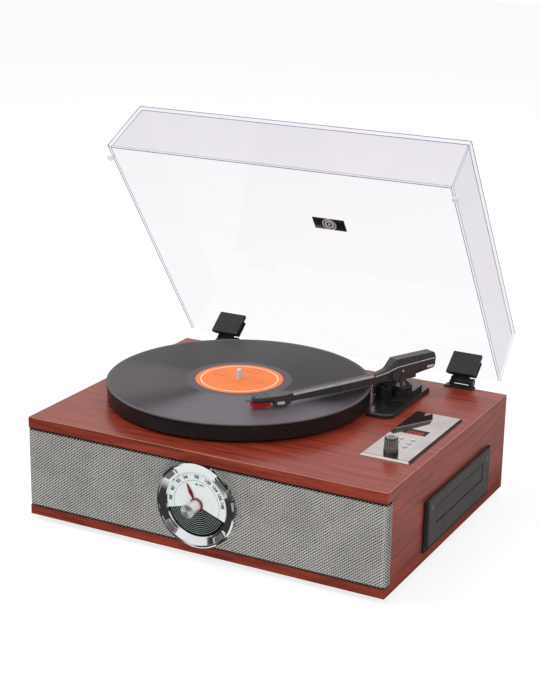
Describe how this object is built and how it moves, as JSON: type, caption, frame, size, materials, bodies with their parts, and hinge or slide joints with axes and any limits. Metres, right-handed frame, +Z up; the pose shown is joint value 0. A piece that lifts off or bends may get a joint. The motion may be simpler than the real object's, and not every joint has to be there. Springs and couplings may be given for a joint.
{
  "type": "stereo music centre",
  "caption": "Wooden record player with a hinged clear lid, tonearm, round radio dial in a mesh front, control plate with knob and buttons, and a side disc tray.",
  "frame": {"origin": "bottom centre of the bounding box, on the floor under the feet, with the lid open", "axes": "+X to the listener's right, +Y to the rear, +Z up; the dial faces -Y and the disc tray opens towards +X"},
  "size_m": [0.4358, 0.4166, 0.4333],
  "materials": {
    "cabinet_wood": "dark mahogany, satin varnish",
    "board_wood": "raw fibreboard",
    "grille_metal": "fine woven mesh",
    "rubber": "matt",
    "steel": "satin",
    "black_steel": "satin black",
    "zinc_steel": "zinc plated",
    "paper_cone": "matt",
    "chrome": "polished",
    "dial_print": "printed, pale green and black",
    "red_plastic": "gloss",
    "spun_aluminium": "spun face",
    "black_gloss": "gloss",
    "vinyl": "grooved",
    "orange_label": "printed paper",
    "polished_steel": "polished",
    "brass": "turned",
    "belt_rubber": "matt",
    "arm_plastic": "gloss",
    "base_plastic": "satin",
    "grey_plastic": "satin",
    "dark_plastic": "satin",
    "mirror_plate": "polished",
    "smoked_window": "smoked, red digits behind",
    "circuit_board": "lacquered",
    "charcoal_paint": "satin",
    "clear_acrylic": "clear"
  },
  "bodies": {
    "root": {"top_board": "cabinet_wood", "bottom_board": "cabinet_wood", "side_board_left": "cabinet_wood", "side_board_right": "cabinet_wood", "rear_panel": "board_wood", "front_baffle": "board_wood", "speaker_grille": "grille_metal", "rubber_feet": "rubber", "cabinet_screws": "zinc_steel", "cd_screws": "steel", "speaker_frames": "black_steel", "speaker_cones": "paper_cone", "dial_bezel": "chrome", "dial_face": "dial_print", "tuner_module": "zinc_steel", "main_board": "circuit_board", "control_plate": "mirror_plate", "display_window": "smoked_window", "switch_board": "circuit_board", "volume_pot": "zinc_steel", "cd_bezel": "charcoal_paint", "cd_chassis": "zinc_steel", "platter_bearing": "brass", "drive_motor": "zinc_steel", "drive_belt": "belt_rubber", "tonearm_base": "base_plastic", "cue_column": "base_plastic", "hinge_brackets": "dark_plastic", "hinge_pins": "polished_steel", "rear_sockets": "dark_plastic"},
    "turntable": {"platter": "black_gloss", "spindle": "polished_steel", "vinyl_record": "vinyl", "record_label": "orange_label"},
    "pulley": {"motor_pulley": "brass"},
    "yoke": {"arm_yoke": "arm_plastic", "arm_pin": "polished_steel"},
    "arm": {"arm_shell": "arm_plastic", "counterweight": "polished_steel", "headshell": "arm_plastic", "cartridge": "dark_plastic", "stylus": "red_plastic"},
    "lid": {"dust_cover": "clear_acrylic", "lid_clips": "dark_plastic", "lid_bumpers": "clear_acrylic", "lid_badge": "black_gloss"},
    "tuning": {"tuning_knob": "spun_aluminium", "dial_pointer": "red_plastic"},
    "volume": {"volume_knob": "chrome"},
    "tray": {"cd_tray": "charcoal_paint"},
    "speed": {"speed_knob": "base_plastic"},
    "power": {"power_rocker": "dark_plastic"},
    "lever": {"cue_lever": "grey_plastic"},
    "lift": {"cue_platform": "base_plastic"},
    "key_1": {"button_1": "chrome"},
    "key_2": {"button_2": "chrome"},
    "key_3": {"button_3": "chrome"},
    "key_4": {"button_4": "chrome"},
    "key_5": {"button_5": "chrome"},
    "key_6": {"button_6": "chrome"}
  },
  "joints": [
    {"name": "platter_spin", "type": "hinge", "parent": "root", "child": "turntable", "pos_m": [-0.0513, -0.00917, 0.1205], "axis": [0, 0, 1], "continuous": true},
    {"name": "pulley_spin", "type": "hinge", "parent": "root", "child": "pulley", "pos_m": [-0.14483, 0.04483, 0.1205], "axis": [0, 0, 1], "continuous": true},
    {"name": "arm_yaw", "type": "hinge", "parent": "root", "child": "yoke", "pos_m": [0.1077, 0.08583, 0.1205], "axis": [0, 0, 1], "range_deg": [-12.5, 21.5]},
    {"name": "arm_lift", "type": "hinge", "parent": "yoke", "child": "arm", "pos_m": [0.10244, 0.07504, 0.1475], "axis": [-0.8988, 0.4384, 0], "range_deg": [0, 8]},
    {"name": "cue_lever_turn", "type": "hinge", "parent": "root", "child": "lever", "pos_m": [0.09721, 0.06281, 0.1301], "axis": [-1, 0, 0], "range_deg": [0, 50]},
    {"name": "cue_lift", "type": "slide", "parent": "root", "child": "lift", "axis": [0, 0, 1], "range_m": [0, 0.0011]},
    {"name": "lid_hinge", "type": "hinge", "parent": "root", "child": "lid", "pos_m": [-0.0023, 0.15883, 0.1255], "axis": [1, 0, 0], "range_deg": [0, 54.7]},
    {"name": "tuning_turn", "type": "hinge", "parent": "root", "child": "tuning", "pos_m": [-0.0023, -0.18577, 0.0633], "axis": [0, 1, 0], "range_deg": [-78, 147]},
    {"name": "volume_turn", "type": "hinge", "parent": "root", "child": "volume", "pos_m": [0.1725, -0.08817, 0.1205], "axis": [0, 0, -1], "range_deg": [0, 300]},
    {"name": "speed_turn", "type": "hinge", "parent": "root", "child": "speed", "pos_m": [0.1183, 0.04383, 0.1205], "axis": [0, 0, -1], "range_deg": [0, 60]},
    {"name": "tray_slide", "type": "slide", "parent": "root", "child": "tray", "axis": [1, 0, 0], "range_m": [0, 0.13]},
    {"name": "power_rock", "type": "hinge", "parent": "root", "child": "power", "pos_m": [0.1477, 0.14983, 0.06], "axis": [1, 0, 0], "range_deg": [0, 12]},
    {"name": "button_1_press", "type": "slide", "parent": "root", "child": "key_1", "axis": [0, 0, -1], "range_m": [0, 0.0008], "stiffness_N_per_m": 250, "springref_m": -0.001},
    {"name": "button_2_press", "type": "slide", "parent": "root", "child": "key_2", "axis": [0, 0, -1], "range_m": [0, 0.0008], "stiffness_N_per_m": 250, "springref_m": -0.001},
    {"name": "button_3_press", "type": "slide", "parent": "root", "child": "key_3", "axis": [0, 0, -1], "range_m": [0, 0.0008], "stiffness_N_per_m": 250, "springref_m": -0.001},
    {"name": "button_4_press", "type": "slide", "parent": "root", "child": "key_4", "axis": [0, 0, -1], "range_m": [0, 0.0008], "stiffness_N_per_m": 250, "springref_m": -0.001},
    {"name": "button_5_press", "type": "slide", "parent": "root", "child": "key_5", "axis": [0, 0, -1], "range_m": [0, 0.0008], "stiffness_N_per_m": 250, "springref_m": -0.001},
    {"name": "button_6_press", "type": "slide", "parent": "root", "child": "key_6", "axis": [0, 0, -1], "range_m": [0, 0.0008], "stiffness_N_per_m": 250, "springref_m": -0.001}
  ],
  "couplings": [
    {"joint": "pulley_spin", "follows": "platter_spin", "ratio": 12.5},
    {"joint": "cue_lever_turn", "follows": "arm_lift", "ratio": 6.25},
    {"joint": "cue_lift", "follows": "arm_lift", "m_per_rad": 0.00787}
  ]
}
